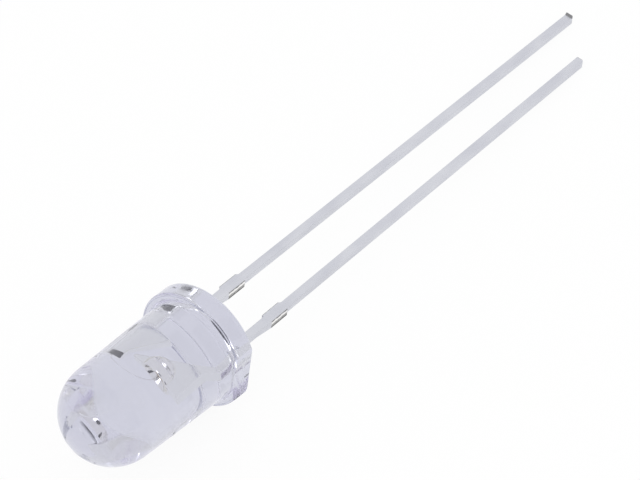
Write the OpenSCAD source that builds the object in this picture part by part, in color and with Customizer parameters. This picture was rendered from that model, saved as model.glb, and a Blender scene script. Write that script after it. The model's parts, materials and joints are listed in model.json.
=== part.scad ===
// Round 5 mm through-hole LED in water-clear epoxy, lying on its flange rim and its two lead tips.
// Each piece is drawn upright: seating plane at z = 0, dome up, cathode side towards +X, leads down.
// lay_down() then turns it to the resting frame: +X towards the dome, +Y towards the cathode, +Z up.

/* [Lens] */
// Height of the moulding, from its seating plane to the top of the dome
lens_h = 8.7; // [7.2:0.05:11]
// Diameter of the barrel where it leaves the flange
lens_d = 5; // [4.1:0.05:6.2]
// Mould draft on each side of the barrel, in degrees
lens_draft = 0.95; // [0:0.05:1.5]
// Radius of the fillet between the barrel and the flange
root_r = 0.3; // [0.1:0.05:0.4]

/* [Flange] */
// How far the flange stands out from the barrel
flange_lip = 0.4; // [0.35:0.05:0.8]
// Thickness of the flange
flange_t = 1; // [0.7:0.05:1.5]
// Rounding of the flange's two edges
rim_r = 0.12; // [0.05:0.01:0.2]
// How far the flat on the cathode side stands out from the barrel
flat_step = 0.05; // [0:0.01:0.2]

/* [Leads] */
// Distance between the two leads where they leave the moulding
lead_pitch = 2.54; // [2.1:0.01:3.1]
// Width of a lead, across the pair
lead_w = 0.4; // [0.3:0.01:0.55]
// Thickness of the strip that the leads are stamped from
lead_t = 0.4; // [0.3:0.01:0.55]
// Length of the anode lead below the seating plane
anode_len = 28.5; // [10:0.1:36]
// Length of the cathode lead below the seating plane
cathode_len = 26.5; // [8:0.1:34]
// Lean of the anode lead towards the anode side, in degrees
anode_lean = 0.7; // [0:0.05:2]
// Lean of the cathode lead towards the anode side, in degrees
cathode_lean = 1.45; // [0:0.05:2]
// Distance from the seating plane to the tie-bar stub
stub_from = 2.75; // [1.5:0.05:4]
// Length of the tie-bar stub along the lead
stub_len = 1.15; // [0.6:0.05:1.6]
// How far the stub stands out on each side of the lead
stub_out = 0.1; // [0.05:0.01:0.2]
// Length of the ramp that leads up to the stub on its cathode side
stub_ramp = 0.9; // [0.3:0.05:1.2]
// Height of the shearing burr on top of the anode lead's tip
burr_h = 0.16; // [0.02:0.01:0.2]
// Corner lost by the cathode lead's tip
tip_nick = 0.08; // [0.02:0.01:0.15]

/* [Lead frame inside the lens] */
// Height of the anvil, the wide head of the cathode lead
anvil_top = 4; // [3.4:0.05:4.9]
// Straight edge at the top of the anvil, before it slopes to its lead
anvil_head = 0.15; // [0.1:0.05:0.4]
// Height at which the anvil's slope meets its lead
anvil_foot = 1.4; // [1.2:0.05:1.7]
// Lean of the anvil towards the cathode side, in degrees
anvil_lean = 2.2; // [1.5:0.1:2.5]
// How far the anode post stands above the anvil
post_rise = 0.5; // [0.35:0.05:0.8]
// Lean of the post towards the cathode side, in degrees
post_lean = 1.2; // [0:0.1:1.5]
// Gap between the anvil's head and the post, before they lean
post_gap = 0.12; // [0.1:0.01:0.3]
// Height of the wedge's point
wedge_z = 2.1; // [1.9:0.05:2.3]
// How far the wedge's point stands out from the post
wedge_out = 0.53; // [0.3:0.01:0.6]
// Length of the coined face at the post's tip
coin_len = 0.3; // [0.2:0.01:0.5]
// Depth of the coined face at the post's end
coin_in = 0.12; // [0.03:0.01:0.15]

/* [Cup, chip and wire] */
// Mouth diameter of the reflector cup
cup_d = 0.88; // [0.8:0.01:1.25]
// Floor diameter of the reflector cup
cup_floor_d = 0.6; // [0.5:0.01:0.7]
// Depth of the reflector cup
cup_depth = 0.35; // [0.2:0.01:0.45]
// Wall of the reflector cup at its mouth
cup_wall = 0.1; // [0.06:0.01:0.15]
// How far the cup's mouth stands above the anvil
cup_rise = 0.02; // [0:0.01:0.2]
// Height of the boss under the cup, with its rounded underside
boss_h = 1.15; // [1:0.01:1.3]
// Height of the boss's straight side
boss_side = 0.3; // [0.2:0.01:0.5]
// Side of the square chip
chip_side = 0.3; // [0.2:0.01:0.32]
// Thickness of the chip
chip_t = 0.12; // [0.08:0.01:0.15]
// Diameter of the silver paste under the chip
paste_d = 0.46; // [0.44:0.01:0.5]
// Thickness of the silver paste
paste_t = 0.02; // [0.01:0.01:0.04]
// Diameter of the bond wire
wire_d = 0.025; // [0.02:0.005:0.05]
// Reach of the wire's loop above the chip and above the post
loop_rise = [1.1, 0.5];

/* [Hidden] */
$fn = 96;

// Moulding
lens_r = lens_d / 2;
flange_r = lens_r + flange_lip;
flat_x = lens_r + flat_step;
// The dome is the sphere that touches both the drafted barrel and the top plane
dome_r = (lens_r * cos(lens_draft) - (lens_h - flange_t) * sin(lens_draft)) / (1 - sin(lens_draft));
dome_z = lens_h - dome_r;
tangent_z = dome_z + dome_r * sin(lens_draft);
tangent_r = dome_r * cos(lens_draft);
arc_steps = 6;

// The epoxy creeps a little way down each lead
creep_h = 0.2;
creep_out = 0.16;
creep_tip = 0.03;

// Lead frame, in the plane of the two leads
lead_x = lead_pitch / 2;
shoulder_rise = 0.6;
wedge_rise = 0.1;
anvil_half = lead_x - lead_w / 2 - post_gap;
slope_z = anvil_top - anvil_head;
post_top = anvil_top + post_rise;
post_in_x = -lead_x + lead_w / 2;
post_out_x = -lead_x - lead_w / 2;
burr_len = 0.1;

// Cup, chip and wire, on the axis of the lens
cup_z = anvil_top + cup_rise;
cup_floor_z = cup_z - cup_depth;
boss_r = cup_d / 2 + cup_wall;
boss_round = boss_h - boss_side;
boss_outline = concat(
    [for (a = [0:15:90]) [boss_r * sin(a), boss_round * (1 - cos(a))]],
    [[boss_r, boss_h], [0, boss_h]]
);
chip_z = cup_floor_z + paste_t;
wire_start = [0, chip_z + chip_t];
wire_end = [post_top * tan(post_lean) - lead_x, post_top];
wire_y = -coin_in / 2;
wire_rings = 16;
wire_sides = 8;

// Rest: the flange's rim and the lower corners of both tips share the ground plane
anode_tip_x = -lead_x - anode_len * tan(anode_lean);
cathode_tip_x = lead_x - cathode_len * tan(cathode_lean);
tip_rise = (anode_len - cathode_len) / (cathode_tip_x - anode_tip_x);
rest_tilt = atan((flange_r - lead_t / 2) / (cathode_len + (cathode_tip_x + lead_w / 2) * tip_rise));
rest_roll = asin(tip_rise * tan(rest_tilt));
// Reach of the lying part along X, to the dome and to the anode's tip, and across Y to the flat's corner
dome_reach = dome_z * cos(rest_tilt) + dome_r;
tip_reach = anode_len * cos(rest_tilt)
    + ((lead_w / 2 - anode_tip_x) * sin(rest_roll) + lead_t / 2 * cos(rest_roll)) * sin(rest_tilt);
flat_half = sqrt(flange_r * flange_r - flat_x * flat_x);
flat_reach = flat_x * cos(rest_roll) + flat_half * sin(rest_roll);

// Points of an upright outline, leaned towards the cathode side by the given angle
function leaned(points, lean) = [for (p = points) [p[0] + p[1] * tan(lean), p[1]]];

// Arc from angle a0 to a1 round a centre, as points
function arc(c, r, a0, a1) = [for (i = [0:arc_steps])
    let (a = a0 + (a1 - a0) * i / arc_steps) c + r * [cos(a), sin(a)]];

// The free part of a lead: down its anode side, past the stub, round the tip and up again
function tail(x, len, lean, nick) = [for (p = [
    [-lead_w / 2, 0],
    [-lead_w / 2, -stub_from],
    [-lead_w / 2 - stub_out, -stub_from],
    [-lead_w / 2 - stub_out, -stub_from - stub_len],
    [-lead_w / 2, -stub_from - stub_len - stub_out],
    [-lead_w / 2, -len],
    [lead_w / 2 - nick, -len],
    [lead_w / 2, -len + nick],
    [lead_w / 2, -stub_from - stub_len],
    [lead_w / 2 + stub_out, -stub_from - stub_len],
    [lead_w / 2 + stub_out, -stub_from],
    [lead_w / 2, -stub_from + stub_ramp],
    [lead_w / 2, 0]
]) [x + p[0] + p[1] * tan(lean), p[1]]];

// Point of a curve with the four control points given, at share t of the way
function bezier(p, t) = pow(1 - t, 3) * p[0] + 3 * t * pow(1 - t, 2) * p[1]
    + 3 * t * t * (1 - t) * p[2] + pow(t, 3) * p[3];
function bezier_slope(p, t) = pow(1 - t, 2) * (p[1] - p[0]) + 2 * t * (1 - t) * (p[2] - p[1])
    + t * t * (p[3] - p[2]);

module lay_down() {
    translate([(tip_reach - dome_reach) / 2, (flange_r - flat_reach) / 2, flange_r * cos(rest_tilt)])
        rotate([0, 90 - rest_tilt, 0])
            rotate([0, 0, 90 - rest_roll])
                children();
}

// A piece of the stamped strip, standing in the plane of the leads
module strip(outline) {
    rotate([90, 0, 0])
        linear_extrude(height = lead_t, center = true)
            polygon(outline);
}

// The epoxy moulding as it leaves the mould, still without room for what it holds
module moulding() {
    difference() {
        union() {
            rotate_extrude()
                polygon(concat(
                    [[0, 0]],
                    arc([flange_r - rim_r, rim_r], rim_r, -90, 0),
                    arc([flange_r - rim_r, flange_t - rim_r], rim_r, 0, 90),
                    arc([lens_r + root_r, flange_t + root_r], root_r, 270, 180 + lens_draft),
                    [[tangent_r, tangent_z], [0, tangent_z]]
                ));
            intersection() {
                translate([0, 0, dome_z])
                    sphere(r = dome_r);
                translate([-lens_d, -lens_d, tangent_z])
                    cube([2 * lens_d, 2 * lens_d, lens_h]);
            }
            for (x = [-lead_x, lead_x])
                translate([x, 0, -creep_h])
                    cylinder(h = creep_h, r1 = lead_w / sqrt(2) + creep_tip, r2 = lead_w / sqrt(2) + creep_out);
        }
        translate([flat_x, -flange_r, -lens_h])
            cube([flange_r, 2 * flange_r, 3 * lens_h]);
    }
}

module anode_solid() {
    difference() {
        union() {
            strip(concat(
                leaned([[post_in_x, post_top], [post_out_x, post_top]], post_lean),
                tail(-lead_x, anode_len, anode_lean, 0),
                leaned([
                    [post_in_x, wedge_z - wedge_rise],
                    [post_in_x + wedge_out, wedge_z],
                    [post_in_x, slope_z]
                ], post_lean)
            ));
            burr();
        }
        // The tip's upper face is coined to a slope
        translate([-lead_x, 0, 0])
            rotate([90, 0, 90])
                linear_extrude(height = lead_x, center = true)
                    polygon([
                        [lead_t / 2, post_top - coin_len],
                        [lead_t, post_top - coin_len],
                        [lead_t, post_top],
                        [lead_t / 2 - coin_in, post_top]
                    ]);
    }
}

// The lip that shearing left along the top of the anode lead's tip
module burr() {
    translate([anode_tip_x, 0, -anode_len])
        rotate([90, 0, 90])
            linear_extrude(height = lead_w, center = true)
                polygon([[0, 0], [lead_t / 2 + burr_h, 0], [lead_t / 2, burr_len], [0, burr_len]]);
}

module cathode_solid() {
    difference() {
        union() {
            strip(concat(
                leaned([
                    [anvil_half, anvil_top],
                    [-anvil_half, anvil_top],
                    [-anvil_half, slope_z],
                    [lead_x - lead_w / 2, anvil_foot]
                ], anvil_lean),
                tail(lead_x, cathode_len, cathode_lean, tip_nick),
                leaned([
                    [lead_x + lead_w / 2, anvil_foot],
                    [anvil_half, anvil_foot + shoulder_rise]
                ], anvil_lean)
            ));
            translate([0, 0, cup_z - boss_h])
                rotate_extrude()
                    polygon(boss_outline);
        }
        translate([0, 0, cup_floor_z])
            cylinder(h = cup_depth, d1 = cup_floor_d, d2 = cup_d);
    }
}

module paste_solid() {
    translate([0, 0, cup_floor_z])
        cylinder(h = paste_t, d = paste_d);
}

module chip_solid() {
    translate([-chip_side / 2, -chip_side / 2, chip_z])
        cube([chip_side, chip_side, chip_t]);
}

// The wire leaves the chip upright, loops over and lands upright on the post
module wire_solid() {
    path = [wire_start, wire_start + [0, loop_rise[0]], wire_end + [0, loop_rise[1]], wire_end];
    points = [for (i = [0:wire_rings - 1], j = [0:wire_sides - 1])
        let (
            p = bezier(path, i / (wire_rings - 1)),
            d = bezier_slope(path, i / (wire_rings - 1)),
            n = [d[1], -d[0]] / norm(d) * cos(360 * j / wire_sides)
        )
        [p[0] + wire_d / 2 * n[0], wire_d / 2 * sin(360 * j / wire_sides), p[1] + wire_d / 2 * n[1]]];
    sides = [for (i = [0:wire_rings - 2], j = [0:wire_sides - 1])
        let (k = (j + 1) % wire_sides, a = i * wire_sides)
        [a + j, a + wire_sides + j, a + wire_sides + k, a + k]];
    first = [for (j = [0:wire_sides - 1]) j];
    last = [for (j = [wire_sides - 1:-1:0]) (wire_rings - 1) * wire_sides + j];
    translate([0, wire_y, 0])
        polyhedron(points, concat(sides, [first], [last]));
}

module lens() {
    color("lavender", 0.35)
        lay_down()
            difference() {
                moulding();
                anode_solid();
                cathode_solid();
                paste_solid();
                chip_solid();
                wire_solid();
            }
}

module anode_lead() {
    color("silver")
        lay_down()
            anode_solid();
}

module cathode_lead() {
    color("silver")
        lay_down()
            cathode_solid();
}

module led_chip() {
    color("peachpuff")
        lay_down()
            chip_solid();
}

module die_attach() {
    color("lightgray")
        lay_down()
            paste_solid();
}

module bond_wire() {
    color("gainsboro")
        lay_down()
            wire_solid();
}

lens();
anode_lead();
cathode_lead();
led_chip();
die_attach();
bond_wire();
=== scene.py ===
import json
import math
import random

import bmesh
import bpy
from mathutils import Euler, Matrix, Vector


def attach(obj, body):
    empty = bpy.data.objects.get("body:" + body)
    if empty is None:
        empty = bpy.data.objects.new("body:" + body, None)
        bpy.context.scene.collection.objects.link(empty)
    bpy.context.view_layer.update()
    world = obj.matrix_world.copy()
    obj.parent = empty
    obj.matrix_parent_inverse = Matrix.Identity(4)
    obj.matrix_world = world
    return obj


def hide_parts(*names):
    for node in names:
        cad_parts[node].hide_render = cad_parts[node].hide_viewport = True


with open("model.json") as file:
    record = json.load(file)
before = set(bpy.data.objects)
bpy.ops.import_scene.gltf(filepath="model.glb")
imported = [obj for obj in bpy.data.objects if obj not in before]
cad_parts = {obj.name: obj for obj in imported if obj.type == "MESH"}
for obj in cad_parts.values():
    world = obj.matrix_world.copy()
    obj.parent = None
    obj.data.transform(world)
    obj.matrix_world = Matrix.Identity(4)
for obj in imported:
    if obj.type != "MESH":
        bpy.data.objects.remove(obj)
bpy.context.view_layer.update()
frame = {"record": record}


# ---- Anode lead -----------------------------------------------------------------------------
# The longer lead, one square strip of steel stamped from a frame. Outside the lens it is
# tinned, inside it keeps the frame's silver plating and ends in the post for the wire.
# The tie bar was sheared off, which left a stub bright at its top edge, with painted shade along the very
# edge, and torn below it.

# Pieces are drawn upright in millimetres: seating plane at zero, dome up, cathode to +X.
# The seating face and the cathode flat say how the finished diode lies.
seat, flat_side = (
    next(m for m in frame["record"]["mounts"] if m["name"] == name)
    for name in ("seating_face", "polarity_flat"))
dome_way = -Vector(seat["axis"]).normalized()
cathode_way = Vector(flat_side["axis"]).normalized()
turned = Matrix((cathode_way, dome_way.cross(cathode_way), dome_way)).transposed().to_4x4()
laid_down = Matrix.Translation(seat["pos_m"]) @ turned @ Matrix.Scale(0.001, 4)

pitch, strip_w, strip_t = 2.54, 0.4, 0.4
stub_from, stub_len, stub_out, stub_ramp = 2.75, 1.15, 0.1, 0.9
plating_r = 0.035
anode_len, anode_lean = 28.5, 0.7
post_in, post_out, post_top, post_lean = -1.07, -1.47, 4.5, 1.2
wedge_low, wedge_z, wedge_x, wedge_top = 2.0, 2.1, -0.54, 3.85
coin_len, coin_tilt = 0.3, Vector((0.076, 0.924, 0.374))
burr_h, burr_len = 0.16, 0.1
tin_from = -0.1
TINNED, SILVERED, CUT, POLISHED = range(4)


def leaned(points, lean):
    """Points of the frame inside the lens, leaned towards the cathode side."""
    return [(x + z * math.tan(math.radians(lean)), z) for x, z in points]


def tail(x, length, lean, nick):
    """The free part of a lead: down its anode side, past the stub, round the tip and up again."""
    half, stub_end = strip_w / 2, stub_from + stub_len
    outline = leaned([
        (-half, 0), (-half, -stub_from), (-half - stub_out, -stub_from),
        (-half - stub_out, -stub_end), (-half, -stub_end - stub_out), (-half, -length),
        (half - nick, -length), (half, -length + nick), (half, -stub_end),
        (half + stub_out, -stub_end), (half + stub_out, -stub_from),
        (half, -stub_from + stub_ramp), (half, 0),
    ], lean)
    return list(dict.fromkeys((x + across, z) for across, z in outline))


def strip(outline):
    """A blank of the strip, cut to an outline in the plane of the leads."""
    bm = bmesh.new()
    front = [bm.verts.new((x, -strip_t / 2, z)) for x, z in outline]
    back = [bm.verts.new((x, strip_t / 2, z)) for x, z in outline]
    bm.faces.new(front)
    bm.faces.new(back[::-1])
    for i in range(len(outline)):
        j = (i + 1) % len(outline)
        bm.faces.new((front[j], front[i], back[i], back[j]))
    bmesh.ops.recalc_face_normals(bm, faces=bm.faces)
    return bm


def cut_away(bm, point, normal):
    """Cuts off what lies beyond a plane and closes the cut."""
    bmesh.ops.bisect_plane(
        bm, geom=[*bm.verts, *bm.edges, *bm.faces], clear_outer=True, plane_co=point, plane_no=normal)
    return bmesh.ops.holes_fill(bm, edges=[e for e in bm.edges if e.is_boundary], sides=0)["faces"]


def split(bm, z):
    """Adds a line of points all round at one height."""
    shape = [*bm.verts, *bm.edges, *bm.faces]
    bmesh.ops.bisect_plane(bm, geom=shape, plane_co=(0, 0, z), plane_no=(0, 0, 1))


def plated(bm, x, lean, length):
    """Rounds every edge as the plating does, and marks the sheared faces of the stub and tip."""
    bmesh.ops.bevel(
        bm, geom=[e for e in bm.edges if e.calc_face_angle(0) > math.radians(12)], offset=plating_r,
        segments=4, profile=0.5, affect="EDGES", clamp_overlap=True, material=-1)
    for face in bm.faces:
        middle = face.calc_center_median()
        out = abs(middle.x - x - middle.z * math.tan(math.radians(lean))) - strip_w / 2
        on_stub = abs(middle.z + stub_from + stub_len / 2) < stub_len / 2 and out > stub_out - plating_r
        if on_stub or middle.z < plating_r - length:
            face.material_index = CUT
    split(bm, tin_from)
    for face in bm.faces:
        if face.material_index == TINNED and face.calc_center_median().z > tin_from:
            face.material_index = SILVERED
    return bm


def blank_finish(name):
    """A new surface, with coordinates in upright millimetres for its patterns."""
    made = bpy.data.materials.new(name)
    made.use_nodes = True
    nodes, links = made.node_tree.nodes, made.node_tree.links
    upright = nodes.new("ShaderNodeMapping")
    back = laid_down.inverted()
    upright.inputs["Location"].default_value = back.translation
    upright.inputs["Rotation"].default_value = turned.inverted().to_euler()
    upright.inputs["Scale"].default_value = (1000, 1000, 1000)
    links.new(nodes.new("ShaderNodeTexCoord").outputs["Object"], upright.inputs["Vector"])
    return made, nodes, links, nodes["Principled BSDF"], upright.outputs["Vector"]


def noise(nodes, links, coords, per_mm, detail=3.0):
    """A cloud of noise, with its own number of waves per millimetre each way."""
    stretched = nodes.new("ShaderNodeMapping")
    stretched.inputs["Scale"].default_value = per_mm
    links.new(coords, stretched.inputs["Vector"])
    cloud = nodes.new("ShaderNodeTexNoise")
    cloud.inputs["Scale"].default_value = 1.0
    cloud.inputs["Detail"].default_value = detail
    links.new(stretched.outputs["Vector"], cloud.inputs["Vector"])
    return cloud.outputs["Fac"]


def shades(nodes, links, value, stops):
    """Colours laid along the values of a pattern."""
    made = nodes.new("ShaderNodeValToRGB")
    while len(made.color_ramp.elements) < len(stops):
        made.color_ramp.elements.new(0.5)
    for element, (place, colour) in zip(made.color_ramp.elements, stops):
        element.position = place
        element.color = (*colour, 1)
    links.new(value, made.inputs["Fac"])
    return made.outputs["Color"]


def band(nodes, links, value, low, high, first=0.0, last=1.0):
    """A pattern brought to a range of plain numbers."""
    made = nodes.new("ShaderNodeMapRange")
    made.inputs["From Min"].default_value = first
    made.inputs["From Max"].default_value = last
    made.inputs["To Min"].default_value = low
    made.inputs["To Max"].default_value = high
    links.new(value, made.inputs["Value"])
    return made.outputs["Result"]


def relief(nodes, links, height, surface, strength, depth_mm):
    """Raises and lowers a surface by a pattern."""
    made = nodes.new("ShaderNodeBump")
    made.inputs["Strength"].default_value = strength
    made.inputs["Distance"].default_value = depth_mm / 1000
    links.new(height, made.inputs["Height"])
    links.new(made.outputs["Normal"], surface.inputs["Normal"])


def plating(name, dark, light, smooth, rough, strength):
    """A plated face: cloudy colour, and roughness and fine lines drawn out along the strip."""
    made, nodes, links, surface, coords = blank_finish(name)
    surface.inputs["Metallic"].default_value = 1.0
    lines = noise(nodes, links, coords, (14, 14, 0.5), 2.0)
    cloud = noise(nodes, links, coords, (1.6, 1.6, 0.7), 3.0)
    links.new(shades(nodes, links, cloud, ((0.3, dark), (0.7, light))), surface.inputs["Base Color"])
    links.new(band(nodes, links, lines, smooth, rough, 0.3, 0.7), surface.inputs["Roughness"])
    relief(nodes, links, lines, surface, strength, 0.002)
    return made


tinned = plating("tin_plating", (0.62, 0.63, 0.69), (0.69, 0.70, 0.75), 0.26, 0.38, 0.12)
silvered = plating("silver_plating", (0.975, 0.975, 0.935), (0.985, 0.985, 0.95), 0.07, 0.14, 0.02)

# The blade first rubs the steel bright, then tears it: the torn part is dull and rough. The darkest stop,
# at the top edge and on the lip at the tip, is painted shade standing for the lip's shadow. Darker lines
# also run along the lower edge and under the bright band
sheared_steel_and_shade, nodes, links, surface, coords = blank_finish("sheared_steel_with_painted_shade")
surface.inputs["Metallic"].default_value = 1.0
across = nodes.new("ShaderNodeSeparateXYZ")
links.new(coords, across.inputs["Vector"])
ragged = nodes.new("ShaderNodeMath")
ragged.operation = "MULTIPLY_ADD"
ragged.inputs[1].default_value = 0.12
links.new(noise(nodes, links, coords, (3, 3, 5)), ragged.inputs[0])
links.new(across.outputs["Y"], ragged.inputs[2])
depth = band(nodes, links, ragged.outputs["Value"], 0, 1, -0.14, 0.26)
links.new(shades(nodes, links, depth, (
    (0.20, (0.14, 0.14, 0.145)), (0.28, (0.42, 0.415, 0.41)), (0.48, (0.46, 0.455, 0.45)),
    (0.56, (0.26, 0.255, 0.25)), (0.61, (0.97, 0.965, 0.96)), (0.88, (0.95, 0.94, 0.93)),
    (0.95, (0.26, 0.26, 0.27)))), surface.inputs["Base Color"])
links.new(band(nodes, links, depth, 0.6, 0.25), surface.inputs["Roughness"])
relief(nodes, links, noise(nodes, links, coords, (20, 9, 20), 4.0), surface, 0.5, 0.012)

# Struck by a hard die: bright and nearly flat
polished, nodes, links, surface, coords = blank_finish("coined_silver")
surface.inputs["Metallic"].default_value = 1.0
cloud = noise(nodes, links, coords, (7, 7, 7))
links.new(
    shades(nodes, links, cloud, ((0.3, (0.95, 0.94, 0.90)), (0.7, (0.98, 0.97, 0.93)))),
    surface.inputs["Base Color"])
links.new(band(nodes, links, cloud, 0.05, 0.16), surface.inputs["Roughness"])
relief(nodes, links, cloud, surface, 0.12, 0.004)
strip_finishes = (tinned, silvered, sheared_steel_and_shade, polished)


def finished(bm, name, finishes, stands_for, sharp=30, flat_faces=False):
    """Lays a piece down, gives it its finishes and sets it in place of the node it details."""
    closest = 0.0003
    bmesh.ops.remove_doubles(bm, verts=bm.verts, dist=closest)
    bmesh.ops.dissolve_degenerate(bm, dist=closest, edges=bm.edges)
    bmesh.ops.recalc_face_normals(bm, faces=bm.faces)
    mesh = bpy.data.meshes.new(name)
    bm.to_mesh(mesh)
    bm.free()
    mesh.transform(laid_down)
    mesh.polygons.foreach_set("use_smooth", [True] * len(mesh.polygons))
    mesh.set_sharp_from_angle(angle=math.radians(sharp))
    for finish in finishes:
        mesh.materials.append(finish)
    piece = bpy.data.objects.new(name, mesh)
    bpy.context.scene.collection.objects.link(piece)
    if flat_faces:
        piece.modifiers.new("flat_faces", "WEIGHTED_NORMAL").keep_sharp = True
    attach(piece, "root")
    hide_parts(stands_for)
    return piece


anode = strip([
    *leaned([(post_in, post_top), (post_out, post_top)], post_lean),
    *tail(-pitch / 2, anode_len, anode_lean, 0),
    *leaned([(post_in, wedge_low), (wedge_x, wedge_z), (post_in, wedge_top)], post_lean),
])
post_x = -pitch / 2 + post_top * math.tan(math.radians(post_lean))
plated(anode, -pitch / 2, anode_lean, anode_len)

# Shearing the tip to length drew its upper edge out into a thin lip. Its faces take the sheared steel's
# darkest colour, painted shade standing for the lip's shadow
split(anode, burr_len - anode_len)
for vert in anode.verts:
    to_tip = 1 - (vert.co.z + anode_len) / burr_len
    to_top = (vert.co.y - strip_t / 2 + plating_r) / plating_r
    if to_tip > 0.01 and to_tip * to_top > 0.001:
        vert.co.y += burr_h * to_tip * to_top
        for face in vert.link_faces:
            face.material_index = CUT
for face in cut_away(anode, (post_x, strip_t / 2, post_top - coin_len), coin_tilt):
    face.material_index = POLISHED
finished(anode, "anode_strip", strip_finishes, "anode_lead", 20, True)


# ---- Cathode lead ---------------------------------------------------------------------------
# The shorter lead, next to the flange's flat, of the same strip. Inside the lens it spreads
# into the anvil, and a round boss pressed up in the anvil's head holds the polished cup
# that throws the chip's light forward.

cathode_len, cathode_lean, tip_nick = 26.5, 1.45, 0.08
anvil_top, anvil_half, anvil_head, anvil_lean = 4.0, 0.95, 0.15, 2.2
foot_z, ramp_top = 1.4, 2.0
boss_r, boss_h, boss_side, boss_edge = 0.54, 1.15, 0.3, 0.05
cup_z, cup_r, cup_floor_r, cup_depth = 4.02, 0.44, 0.3, 0.35
cup_lip, cup_corner, cup_curve, cup_steps = 0.02, 0.03, 1.1, 8
cup_floor = cup_z - cup_depth


def spun(profile, steps):
    """A closed round piece on the lens axis from its half outline, both ends of it on the axis."""
    bm = bmesh.new()
    rings = []
    for r, z in profile:
        angles = [2 * math.pi * i / steps for i in range(steps)] if r > 1e-6 else [0.0]
        rings.append([bm.verts.new((r * math.cos(a), r * math.sin(a), z)) for a in angles])
    for low, high in zip(rings, rings[1:]):
        for i in range(steps):
            j = (i + 1) % steps
            corners = [low[i % len(low)], low[j % len(low)], high[j % len(high)], high[i % len(high)]]
            bm.faces.new(list(dict.fromkeys(corners)))
    bmesh.ops.recalc_face_normals(bm, faces=bm.faces)
    return bm


def joined(bm, other, way):
    """The first shape with the second added to it or cut out of it."""
    shapes = []
    for part in (bm, other):
        mesh = bpy.data.meshes.new("shape")
        part.to_mesh(mesh)
        part.free()
        for finish in strip_finishes:
            mesh.materials.append(finish)
        shapes.append(bpy.data.objects.new("shape", mesh))
        bpy.context.scene.collection.objects.link(shapes[-1])
    cut = shapes[0].modifiers.new("cut", "BOOLEAN")
    cut.object, cut.operation, cut.solver = shapes[1], way, "EXACT"
    done = shapes[0].evaluated_get(bpy.context.evaluated_depsgraph_get())
    result = bmesh.new()
    result.from_mesh(bpy.data.meshes.new_from_object(done))
    for shape in shapes:
        bpy.data.objects.remove(shape)
    return result


cathode = strip([
    *leaned([(anvil_half, anvil_top), (-anvil_half, anvil_top), (-anvil_half, anvil_top - anvil_head),
             (pitch / 2 - strip_w / 2, foot_z)], anvil_lean),
    *tail(pitch / 2, cathode_len, cathode_lean, tip_nick),
    *leaned([(pitch / 2 + strip_w / 2, foot_z), (anvil_half, ramp_top)], anvil_lean),
])
plated(cathode, pitch / 2, cathode_lean, cathode_len)
turns = [math.radians(t) for t in range(0, 95, 5)]
underside = [
    (boss_r * math.sin(t), cup_z - boss_side - (boss_h - boss_side) * math.cos(t)) for t in turns]
boss = spun([
    *underside, (boss_r, cup_z - boss_edge), (boss_r - 0.3 * boss_edge, cup_z - 0.3 * boss_edge),
    (boss_r - boss_edge, cup_z), (0, cup_z)], 96)
wall = [
    (cup_floor_r + (cup_r - cup_floor_r) * (i / cup_steps) ** cup_curve,
     cup_floor + (cup_depth - cup_lip) * i / cup_steps)
    for i in range(cup_steps + 1)]
hollow = spun([
    (0, cup_floor), (cup_floor_r - cup_corner, cup_floor), *wall, (cup_r + cup_lip, cup_z),
    (cup_r + cup_lip, cup_z + 1), (0, cup_z + 1)], 96)
for face in (*boss.faces, *hollow.faces):
    face.material_index = POLISHED
cathode = joined(joined(cathode, boss, "UNION"), hollow, "DIFFERENCE")
finished(cathode, "cathode_strip", strip_finishes, "cathode_lead", 20, True)


# ---- Silver paste ---------------------------------------------------------------------------
# The drop of silver-filled glue that holds the chip in the cup and carries its current.
# It was pressed out into a thin uneven round and crept a little way up the chip's sides.

paste_r, paste_t, paste_climb = 0.23, 0.02, 0.045
chip_side, chip_t = 0.3, 0.12
paste_steps, paste_wave = 64, 0.012
paste_rings = ((1.0, 0.0), (0.97, 0.5), (0.8, 0.95), (0.5, 1.3), (0.2, 2.1), (0.0, paste_climb / paste_t))
paste_dice = random.Random(5)

drop = bmesh.new()
swells = [(n, paste_dice.uniform(0, 2 * math.pi), paste_wave / n) for n in (2, 3, 5, 7)]
loops = []
for share, height in paste_rings:
    loop = []
    for i in range(paste_steps):
        a = 2 * math.pi * i / paste_steps
        edge = chip_side / 2 / max(abs(math.cos(a)), abs(math.sin(a))) + 0.002
        reach = paste_r - 0.005 + sum(h * math.sin(n * a + turn) for n, turn, h in swells)
        r = edge + (max(reach, edge + 0.008) - edge) * share
        loop.append(drop.verts.new((r * math.cos(a), r * math.sin(a), cup_floor + height * paste_t)))
    loops.append(loop)
for low, high in zip(loops, loops[1:]):
    for i in range(paste_steps):
        j = (i + 1) % paste_steps
        drop.faces.new((low[i], low[j], high[j], high[i]))
drop.faces.new(loops[0][::-1])
drop.faces.new(loops[-1])

paste, nodes, links, surface, coords = blank_finish("silver_glue")
surface.inputs["Metallic"].default_value = 0.7
flakes = noise(nodes, links, coords, (40, 40, 40), 4.0)
links.new(
    shades(nodes, links, flakes, ((0.35, (0.55, 0.54, 0.52)), (0.65, (0.82, 0.81, 0.78)))),
    surface.inputs["Base Color"])
links.new(band(nodes, links, flakes, 0.6, 0.35), surface.inputs["Roughness"])
relief(nodes, links, flakes, surface, 0.5, 0.006)
finished(drop, "paste_drop", (paste,), "die_attach", sharp=50)


# ---- Chip -----------------------------------------------------------------------------------
# The square crystal that makes the light, sawn from a wafer, so its sides are matt and its
# top is smooth. A round metal pad in the middle of the top takes the wire.

chip_z = cup_floor + paste_t
chip_top, saw_step, chip_edge = chip_z + chip_t, 0.012, 0.004
pad_r, pad_t, pad_edge = 0.06, 0.004, 0.003
narrowed = chip_side - 2 * saw_step

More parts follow.
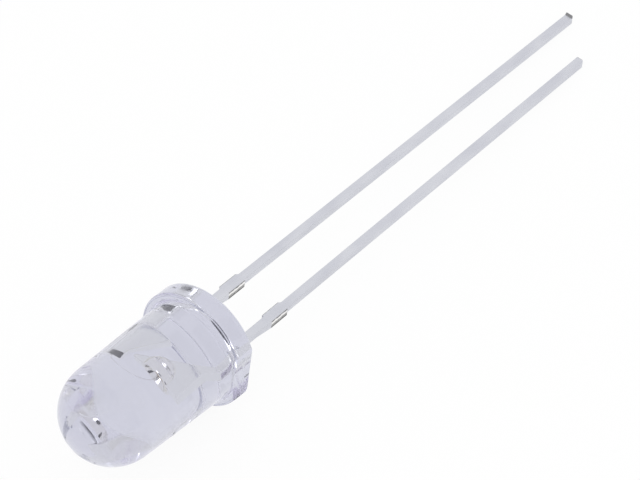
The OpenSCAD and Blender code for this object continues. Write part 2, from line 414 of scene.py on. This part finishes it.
die = bmesh.new()
outlines = []
for side, z in ((chip_side, chip_z), (chip_side, chip_z + chip_t * 0.7),
                (narrowed, chip_z + chip_t * 0.76), (narrowed, chip_top - chip_edge),
                (narrowed - 2 * chip_edge, chip_top)):
    outlines.append([
        die.verts.new((side / 2 * sx, side / 2 * sy, z))
        for sx, sy in ((-1, -1), (1, -1), (1, 1), (-1, 1))])
for low, high in zip(outlines, outlines[1:]):
    for i in range(4):
        j = (i + 1) % 4
        die.faces.new((low[i], low[j], high[j], high[i]))
die.faces.new(outlines[0][::-1])
die.faces.new(outlines[-1])
pad = spun([
    (0, chip_top - 0.01), (pad_r, chip_top - 0.01), (pad_r, chip_top + pad_t / 2),
    (pad_r - pad_edge, chip_top + pad_t), (0, chip_top + pad_t)], 40)
pad_mesh = bpy.data.meshes.new("pad")
pad.to_mesh(pad_mesh)
pad.free()
crystal_faces = len(die.faces)
die.from_mesh(pad_mesh)
die.faces.ensure_lookup_table()
for face in die.faces[crystal_faces:]:
    face.material_index = 1

crystal, nodes, links, surface, coords = blank_finish("crystal")
surface.inputs["IOR"].default_value = 2.4
growth = noise(nodes, links, coords, (9, 9, 25), 4.0)
links.new(
    shades(nodes, links, growth, ((0.3, (0.90, 0.62, 0.38)), (0.7, (0.98, 0.78, 0.55)))),
    surface.inputs["Base Color"])
links.new(band(nodes, links, growth, 0.15, 0.4), surface.inputs["Roughness"])
relief(nodes, links, growth, surface, 0.3, 0.004)
pad_metal, nodes, links, surface, coords = blank_finish("pad_metal")
surface.inputs["Metallic"].default_value = 1.0
pits = noise(nodes, links, coords, (60, 60, 60))
links.new(
    shades(nodes, links, pits, ((0.3, (0.86, 0.80, 0.66)), (0.7, (0.93, 0.88, 0.76)))),
    surface.inputs["Base Color"])
links.new(band(nodes, links, pits, 0.25, 0.45), surface.inputs["Roughness"])
finished(die, "crystal_chip", (crystal, pad_metal), "led_chip")


# ---- Bond wire ------------------------------------------------------------------------------
# Silver wire a fortieth of a millimetre thick. A melted ball welds it to the chip's pad, it
# loops over the cup's lip, and its end is pressed flat on the end of the anode post.

wire_r, ball_r, ball_squash, wire_y = 0.0125, 0.036, 0.6, -0.06
start = Vector((0, wire_y, chip_top))
finish_point = Vector((post_x, wire_y, post_top))
above_chip, above_post = 1.1, 0.5

wire_metal, nodes, links, surface, coords = blank_finish("silver_wire_metal")
surface.inputs["Metallic"].default_value = 1.0
drawn = noise(nodes, links, coords, (50, 50, 6))
links.new(
    shades(nodes, links, drawn, ((0.3, (0.90, 0.89, 0.87)), (0.7, (0.96, 0.95, 0.93)))),
    surface.inputs["Base Color"])
links.new(band(nodes, links, drawn, 0.12, 0.3), surface.inputs["Roughness"])


def empty_tree(name, inputs):
    """A node tree that makes a shape, with its named inputs."""
    tree = bpy.data.node_groups.new(name, "GeometryNodeTree")
    for label, kind in inputs:
        tree.interface.new_socket(label, in_out="INPUT", socket_type="NodeSocket" + kind)
    tree.interface.new_socket("Geometry", in_out="OUTPUT", socket_type="NodeSocketGeometry")
    return tree, tree.nodes, tree.links, tree.nodes.new("NodeGroupInput").outputs


def coated(nodes, links, shape, finish):
    """The end of a tree: everything real, in its finish."""
    whole = nodes.new("GeometryNodeRealizeInstances")
    links.new(shape, whole.inputs["Geometry"])
    coat = nodes.new("GeometryNodeSetMaterial")
    links.new(whole.outputs["Geometry"], coat.inputs["Geometry"])
    links.new(finish, coat.inputs["Material"])
    links.new(coat.outputs["Geometry"], nodes.new("NodeGroupOutput").inputs["Geometry"])


loop_tree, nodes, links, given = empty_tree("bonded_wire", (
    ("Geometry", "Geometry"), ("Start", "Vector"), ("Rise", "Vector"), ("Fall", "Vector"),
    ("End", "Vector"), ("Wire radius", "Float"), ("Ball radius", "Float"), ("Ball squash", "Vector"),
    ("Steps", "Int"), ("Metal", "Material")))
path = nodes.new("GeometryNodeCurvePrimitiveBezierSegment")
for label, socket in (("Start", "Start"), ("Rise", "Start Handle"), ("Fall", "End Handle"), ("End", "End"),
                      ("Steps", "Resolution")):
    links.new(given[label], path.inputs[socket])
section = nodes.new("GeometryNodeCurvePrimitiveCircle")
section.inputs["Resolution"].default_value = 12
links.new(given["Wire radius"], section.inputs["Radius"])
swept = nodes.new("GeometryNodeCurveToMesh")
swept.inputs["Fill Caps"].default_value = True
links.new(path.outputs["Curve"], swept.inputs["Curve"])
links.new(section.outputs["Curve"], swept.inputs["Profile Curve"])
ball = nodes.new("GeometryNodeMeshUVSphere")
ball.inputs["Segments"].default_value, ball.inputs["Rings"].default_value = 24, 12
links.new(given["Ball radius"], ball.inputs["Radius"])
welds = nodes.new("GeometryNodeJoinGeometry")
for place in ("Start", "End"):
    weld = nodes.new("GeometryNodeTransform")
    links.new(ball.outputs["Mesh"], weld.inputs["Geometry"])
    links.new(given[place], weld.inputs["Translation"])
    links.new(given["Ball squash"], weld.inputs["Scale"])
    links.new(weld.outputs["Geometry"], welds.inputs["Geometry"])
links.new(swept.outputs["Mesh"], welds.inputs["Geometry"])
coated(nodes, links, welds.outputs["Geometry"], given["Metal"])


def grown(tree, outline, settings):
    """What a node tree makes from an outline and its named inputs, as a shape to work on."""
    base = bpy.data.objects.new("base", outline)
    bpy.context.scene.collection.objects.link(base)
    maker = base.modifiers.new("maker", "NODES")
    maker.node_group = tree
    sockets = {s.name: s.identifier for s in tree.interface.items_tree if s.in_out == "INPUT"}
    for label, value in settings.items():
        maker[sockets[label]] = value
    done = base.evaluated_get(bpy.context.evaluated_depsgraph_get())
    result = bmesh.new()
    result.from_mesh(bpy.data.meshes.new_from_object(done))
    base.modifiers.remove(maker)
    bpy.data.objects.remove(base)
    return result


wire = grown(loop_tree, bpy.data.meshes.new("wire_base"), {
    "Start": tuple(start), "Rise": tuple(start + Vector((0, 0, above_chip))),
    "Fall": tuple(finish_point + Vector((0, 0, above_post))), "End": tuple(finish_point),
    "Wire radius": wire_r, "Ball radius": ball_r, "Ball squash": (1.0, 1.0, ball_squash),
    "Steps": 48, "Metal": wire_metal,
})
finished(wire, "wire_loop", (wire_metal,), "bond_wire", sharp=50)


# ---- Lens -----------------------------------------------------------------------------------
# Water-clear epoxy, cast upside down round the lead frame in a polished cup mould.
# Drafted barrel, dome, and a flange cut flat beside the cathode. Where the leads leave the
# casting, a little epoxy has crept down them.

lens_h, barrel_r, draft = 8.7, 2.5, math.radians(0.95)
flange_r, flange_t, rim_r, root_r, flat_x = 2.9, 1.0, 0.12, 0.3, 2.55
creep_h, creep_r, creep_tip = 0.2, 0.4428, 0.3128


def arc(centre, r, start, end, count):
    """Points of an arc between two angles in degrees."""
    angles = [math.radians(start + (end - start) * i / count) for i in range(count + 1)]
    return [(centre[0] + r * math.cos(a), centre[1] + r * math.sin(a)) for a in angles]


dome_r = (barrel_r * math.cos(draft) - (lens_h - flange_t) * math.sin(draft)) / (1 - math.sin(draft))
dome_z = lens_h - dome_r
half_outline = [(0, 0), (1, 0), (2, 0)]
half_outline += arc((flange_r - rim_r, rim_r), rim_r, -90, 0, 8)
half_outline += arc((flange_r - rim_r, flange_t - rim_r), rim_r, 0, 90, 8)
half_outline += arc((barrel_r + root_r, flange_t + root_r), root_r, 270, 180 + math.degrees(draft), 10)
half_outline += arc((0, dome_z), dome_r, math.degrees(draft), 90, 64)[:-1] + [(0, lens_h)]
outline_mesh = bpy.data.meshes.new("lens_outline")
outline_mesh.from_pydata(
    [(r, 0, z) for r, z in half_outline], [(i, i + 1) for i in range(len(half_outline) - 1)], [])

epoxy, nodes, links, surface, coords = blank_finish("water_clear_epoxy")
surface.inputs["Transmission Weight"].default_value = 1.0
surface.inputs["IOR"].default_value = 1.53
cure = noise(nodes, links, coords, (0.5, 0.5, 0.5), 2.0)
links.new(
    shades(nodes, links, cure, ((0.3, (0.622, 0.632, 0.727)), (0.7, (0.638, 0.646, 0.738)))),
    surface.inputs["Base Color"])
links.new(band(nodes, links, cure, 0.0, 0.03), surface.inputs["Roughness"])
tint = nodes.new("ShaderNodeVolumeAbsorption")
tint.inputs["Color"].default_value = (0.4, 0.25, 0.7, 1)
tint.inputs["Density"].default_value = 4
links.new(tint.outputs["Volume"], nodes["Material Output"].inputs["Volume"])

mould_tree, nodes, links, given = empty_tree("cast_lens", (
    ("Outline", "Geometry"), ("Points", "Int"), ("Steps", "Int"), ("Flat", "Float"),
    ("Lead pitch", "Float"), ("Creep height", "Float"), ("Creep radius", "Float"),
    ("Creep tip", "Float"), ("Epoxy", "Material")))


def sum_of(kind, first, second):
    """A step of arithmetic in the node tree, on sockets or plain numbers."""
    made = nodes.new("ShaderNodeMath")
    made.operation = kind
    for socket, value in zip(made.inputs, (first, second)):
        if isinstance(value, bpy.types.NodeSocket):
            links.new(value, socket)
        else:
            socket.default_value = value
    return made.outputs["Value"]


# A grid of points, one row for each turn step, laid on the outline and swung round the axis
sheet = nodes.new("GeometryNodeMeshGrid")
links.new(sum_of("ADD", given["Steps"], 1), sheet.inputs["Vertices X"])
links.new(given["Points"], sheet.inputs["Vertices Y"])
count = nodes.new("GeometryNodeInputIndex").outputs["Index"]
row = sum_of("FLOOR", sum_of("DIVIDE", sum_of("ADD", count, 0.5), given["Points"]), 0)
column = sum_of("SUBTRACT", count, sum_of("MULTIPLY", row, given["Points"]))
outline_point = nodes.new("GeometryNodeSampleIndex")
outline_point.data_type = "FLOAT_VECTOR"
links.new(given["Outline"], outline_point.inputs["Geometry"])
links.new(nodes.new("GeometryNodeInputPosition").outputs["Position"], outline_point.inputs["Value"])
links.new(column, outline_point.inputs["Index"])
swing = nodes.new("ShaderNodeVectorRotate")
swing.rotation_type = "Z_AXIS"
links.new(outline_point.outputs["Value"], swing.inputs["Vector"])
links.new(sum_of("MULTIPLY", row, sum_of("DIVIDE", 2 * math.pi, given["Steps"])), swing.inputs["Angle"])
bent = nodes.new("GeometryNodeSetPosition")
links.new(sheet.outputs["Mesh"], bent.inputs["Geometry"])
links.new(swing.outputs["Vector"], bent.inputs["Position"])
closed = nodes.new("GeometryNodeMergeByDistance")
closed.inputs["Distance"].default_value = 0.0001
links.new(bent.outputs["Geometry"], closed.inputs["Geometry"])

# The creep of epoxy round each lead
cone = nodes.new("GeometryNodeMeshCone")
cone.inputs["Vertices"].default_value = 48
cone.inputs["Side Segments"].default_value = 4
links.new(given["Creep radius"], cone.inputs["Radius Top"])
links.new(given["Creep tip"], cone.inputs["Radius Bottom"])
links.new(sum_of("ADD", given["Creep height"], 0.1), cone.inputs["Depth"])
pair = nodes.new("GeometryNodeMeshLine")
pair.mode = "END_POINTS"
pair.inputs["Count"].default_value = 2
for sign, socket in ((-0.5, "Start Location"), (0.5, "Offset")):
    place = nodes.new("ShaderNodeCombineXYZ")
    links.new(sum_of("MULTIPLY", given["Lead pitch"], sign), place.inputs["X"])
    links.new(sum_of("MULTIPLY", given["Creep height"], -1), place.inputs["Z"])
    links.new(place.outputs["Vector"], pair.inputs[socket])
crept = nodes.new("GeometryNodeInstanceOnPoints")
links.new(pair.outputs["Mesh"], crept.inputs["Points"])
links.new(cone.outputs["Mesh"], crept.inputs["Instance"])
both = nodes.new("GeometryNodeRealizeInstances")
links.new(crept.outputs["Instances"], both.inputs["Geometry"])
cast = nodes.new("GeometryNodeMeshBoolean")
cast.operation = "UNION"
links.new(closed.outputs["Geometry"], cast.inputs["Mesh 2"])
links.new(both.outputs["Geometry"], cast.inputs["Mesh 2"])

# The flat is cut last
block = nodes.new("GeometryNodeMeshCube")
block.inputs["Size"].default_value = (2, 8, 30)
beside = nodes.new("GeometryNodeTransform")
at = nodes.new("ShaderNodeCombineXYZ")
links.new(sum_of("ADD", given["Flat"], 1), at.inputs["X"])
links.new(at.outputs["Vector"], beside.inputs["Translation"])
links.new(block.outputs["Mesh"], beside.inputs["Geometry"])
flattened = nodes.new("GeometryNodeMeshBoolean")
flattened.operation = "DIFFERENCE"
links.new(cast.outputs["Mesh"], flattened.inputs["Mesh 1"])
links.new(beside.outputs["Geometry"], flattened.inputs["Mesh 2"])
coated(nodes, links, flattened.outputs["Mesh"], given["Epoxy"])

moulding = grown(mould_tree, outline_mesh, {
    "Points": len(half_outline), "Steps": 256, "Flat": flat_x, "Lead pitch": pitch,
    "Creep height": creep_h, "Creep radius": creep_r, "Creep tip": creep_tip, "Epoxy": epoxy,
})
finished(moulding, "lens_moulding", (epoxy,), "lens", sharp=25)


# ---- Floor, lights and camera ---------------------------------------------------------------
# A sheet of white paper in a light tent, so that even light comes from all round. Only two
# dark things stand in the tent, the front of the camera and a small black card by the dome.
# The lens bends them and the metal mirrors them, which gives the clear piece its accents.

# Light is thrown to and fro many times inside the clear lens before it leaves
throws = 96
bpy.context.scene.cycles.max_bounces = throws
bpy.context.scene.cycles.transmission_bounces = throws
bpy.context.scene.cycles.glossy_bounces = throws

tent = bpy.data.worlds.new("tent")
bpy.context.scene.world = tent
tent.use_nodes = True
tent.node_tree.nodes["Background"].inputs["Color"].default_value = (1, 1, 1, 1)
tent.node_tree.nodes["Background"].inputs["Strength"].default_value = 0.96

lamp = bpy.data.objects.new("soft_lamp", bpy.data.lights.new("soft_lamp", "AREA"))
lamp.data.shape, lamp.data.size, lamp.data.energy = "DISK", 0.13, 0.085
lamp_way, lamp_away = Vector((0.5757, 0.1755, 0.7986)), 0.3
lamp.location = lamp_away * lamp_way
lamp.rotation_mode = "QUATERNION"
lamp.rotation_quaternion = lamp_way.to_track_quat("Z", "Y")
lamp.visible_glossy = False
bpy.context.scene.collection.objects.link(lamp)

floor_half, floor_glow = 2, 0.93
paper = bpy.data.materials.new("white_paper")
paper.use_nodes = True
nodes, links = paper.node_tree.nodes, paper.node_tree.links
sheet_surface = nodes["Principled BSDF"]
sheet_surface.inputs["Base Color"].default_value = (0.93, 0.93, 0.93, 1)
sheet_surface.inputs["Roughness"].default_value = 0.9
ray = nodes.new("ShaderNodeLightPath")
seen = ray.outputs["Is Camera Ray"]
for kind in ("Is Glossy Ray", "Is Transmission Ray"):
    seen = sum_of("MAXIMUM", seen, ray.outputs[kind])
glow = nodes.new("ShaderNodeEmission")
glow.inputs["Color"].default_value = (1, 1, 1, 1)
lit = nodes.new("ShaderNodeMixShader")
links.new(sum_of("MULTIPLY", seen, floor_glow), lit.inputs["Fac"])
links.new(sheet_surface.outputs[0], lit.inputs[1])
links.new(glow.outputs[0], lit.inputs[2])
links.new(lit.outputs[0], nodes["Material Output"].inputs["Surface"])
floor_mesh = bpy.data.meshes.new("floor")
corners = [(-1, -1), (1, -1), (1, 1), (-1, 1)]
floor_mesh.from_pydata([(x * floor_half, y * floor_half, 0) for x, y in corners], [], [range(4)])
floor_mesh.materials.append(paper)
floor = bpy.data.objects.new("floor", floor_mesh)
bpy.context.scene.collection.objects.link(floor)


def towards(azimuth, elevation):
    """The direction at an azimuth and an elevation in degrees."""
    a, e = math.radians(azimuth), math.radians(elevation)
    return Vector((math.cos(a) * math.cos(e), math.sin(a) * math.cos(e), math.sin(e)))


azimuth, elevation, distance, roll = 41.1967, 45.6331, 0.25109, -2.445
aim = Vector((0.001437, -0.000303, 0.002088))
camera = bpy.data.objects.new("camera", bpy.data.cameras.new("camera"))
camera.data.lens, camera.data.sensor_width = 312.6, 36
camera.data.clip_start, camera.data.clip_end = 0.01, 5
back = towards(azimuth, elevation)
rolled = Euler((0, 0, math.radians(roll))).to_quaternion()
camera.location = aim + back * distance
camera.rotation_mode = "QUATERNION"
camera.rotation_quaternion = (-back).to_track_quat("-Z", "Y") @ rolled
bpy.context.scene.collection.objects.link(camera)
bpy.context.scene.camera = camera
bpy.context.scene.view_settings.view_transform = "Standard"

black = bpy.data.materials.new("black_card")
black.use_nodes = True
black.node_tree.nodes["Principled BSDF"].inputs["Base Color"].default_value = (0.10, 0.10, 0.12, 1)
cup_place = laid_down @ Vector((0, 0, cup_z))
for name, way, away, half_w, half_h in (("camera_front", (44, 50), 0.25, 0.058, 0.055),
                                        ("black_card", (63, -4), 0.012, 0.0034, 0.0024)):
    facing = towards(*way)
    rim = [math.radians(t) for t in range(0, 360, 10)]
    card_mesh = bpy.data.meshes.new(name)
    card_mesh.from_pydata(
        [(half_w * math.cos(t), half_h * math.sin(t), 0) for t in rim], [], [range(len(rim))])
    card_mesh.transform(facing.to_track_quat("Z", "Y").to_matrix().to_4x4())
    card_mesh.transform(Matrix.Translation(cup_place + facing * away))
    card_mesh.materials.append(black)
    card = bpy.data.objects.new(name, card_mesh)
    card.visible_camera = card.visible_shadow = card.visible_diffuse = card.visible_glossy = False
    bpy.context.scene.collection.objects.link(card)
